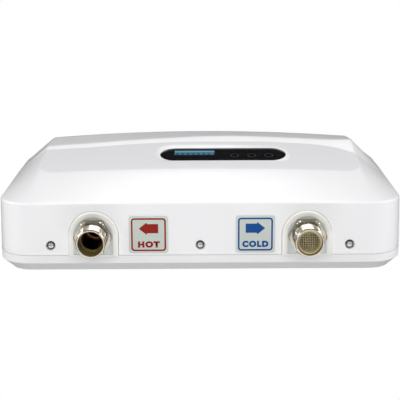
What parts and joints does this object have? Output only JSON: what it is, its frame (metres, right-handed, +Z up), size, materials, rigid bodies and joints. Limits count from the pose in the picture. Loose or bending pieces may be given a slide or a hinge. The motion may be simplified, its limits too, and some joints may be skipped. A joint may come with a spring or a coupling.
{
  "type": "tankless water heater",
  "caption": "Shallow wall-hung tankless water heater with a crowned white cover, display window, and outlet and inlet pipe stubs under it.",
  "frame": {"origin": "centre of the four wall screw holes, in the wall plane", "axes": "+X to the right across the width, +Z up as the heater hangs, -Y out of the wall to the front"},
  "size_m": [0.29, 0.079, 0.1866],
  "materials": {
    "aluminium": "extruded aluminium",
    "black_magnet_nylon": "nylon with moulded magnets",
    "black_plastic": "moulded phenolic",
    "black_pvc": "PVC insulation",
    "black_rubber": "matte rubber",
    "blue_capacitor": "moulded box",
    "blue_lcd": "clear lens over a blue read-out",
    "brass": "machined brass",
    "bronze": "bronze wire",
    "copper": "drawn copper tube",
    "frosted_polymer": "frosted polypropylene",
    "green_laminate": "solder-masked laminate",
    "green_pvc": "PVC insulation",
    "grey_lcd_glass": "glass module",
    "grey_nylon": "moulded nylon",
    "grey_pvc": "flat PVC ribbon",
    "label_blue": "printed film with blue border and arrow",
    "label_red": "printed film with red border and arrow",
    "laminated_core": "varnished steel core",
    "nickel_brass": "nickel-plated brass",
    "red_plastic": "moulded nylon",
    "red_pvc": "PVC insulation",
    "smoked_acrylic": "polished smoked acrylic",
    "stainless_steel": "drawn stainless steel",
    "white_abs": "satin moulded ABS",
    "white_ceramic": "glazed ceramic",
    "white_gloss_abs": "high-gloss white moulded ABS",
    "white_nylon": "moulded nylon",
    "white_silicone": "silicone insulation",
    "zinc_steel": "zinc-plated steel"
  },
  "bodies": {
    "casing": {"back_plate": "white_abs", "cover_seal": "black_rubber", "lcd_module": "grey_lcd_glass", "display_board": "green_laminate", "display_bracket": "grey_nylon", "touch_springs": "zinc_steel", "outlet_pad": "frosted_polymer", "inlet_pad": "frosted_polymer", "outlet_stub": "nickel_brass", "inlet_stub": "nickel_brass", "stub_seals": "black_rubber", "outlet_pipe": "copper", "inlet_pipe": "copper", "outlet_probe": "brass", "inlet_probe": "brass", "flow_sensor_body": "grey_nylon", "bearing_spiders": "grey_nylon", "turbine_axle": "stainless_steel", "hall_sensor": "black_plastic", "tank_shell": "stainless_steel", "tank_cap_left": "stainless_steel", "tank_cap_right": "stainless_steel", "heating_elements": "stainless_steel", "element_bushes": "white_ceramic", "element_pins": "stainless_steel", "tank_straps": "zinc_steel", "pipe_clamps": "grey_nylon", "clamp_screws": "zinc_steel", "thermal_cutout": "black_plastic", "triac_plate": "aluminium", "triacs": "black_plastic", "triac_screws": "zinc_steel", "power_board": "green_laminate", "board_screws": "zinc_steel", "power_relay": "black_plastic", "supply_transformer": "laminated_core", "filter_capacitors": "blue_capacitor", "board_connectors": "white_nylon", "terminal_block": "white_nylon", "terminal_screws": "brass", "cable_grommet": "black_rubber", "cable_clamp": "grey_nylon", "earth_nut": "brass", "mains_leads": "red_pvc", "element_leads": "white_silicone", "sensor_leads": "black_pvc", "earth_lead": "green_pvc", "display_ribbon": "grey_pvc"},
    "cover": {"front_cover": "white_gloss_abs", "display_window": "smoked_acrylic", "window_seal": "black_rubber", "lcd_lens": "blue_lcd", "outlet_label": "label_red", "inlet_label": "label_blue", "cover_screws": "zinc_steel", "cover_nuts": "zinc_steel"},
    "filter": {"filter_ring": "bronze", "filter_mesh": "bronze"},
    "rotor": {"turbine": "black_magnet_nylon"},
    "button": {"reset_button": "red_plastic"}
  },
  "joints": [
    {"name": "cover_slide", "type": "slide", "parent": "casing", "child": "cover", "axis": [0, -1, 0], "range_m": [0, 0.11]},
    {"name": "filter_slide", "type": "slide", "parent": "casing", "child": "filter", "axis": [0, 0, -1], "range_m": [0, 0.02]},
    {"name": "turbine_spin", "type": "hinge", "parent": "casing", "child": "rotor", "pos_m": [0.0755, -0.0275, -0.048], "axis": [0, 0, 1], "continuous": true},
    {"name": "reset_press", "type": "slide", "parent": "casing", "child": "button", "axis": [0, 1, 0], "range_m": [0, 0.0012], "stiffness_N_per_m": 600, "springref_m": -0.0005}
  ]
}
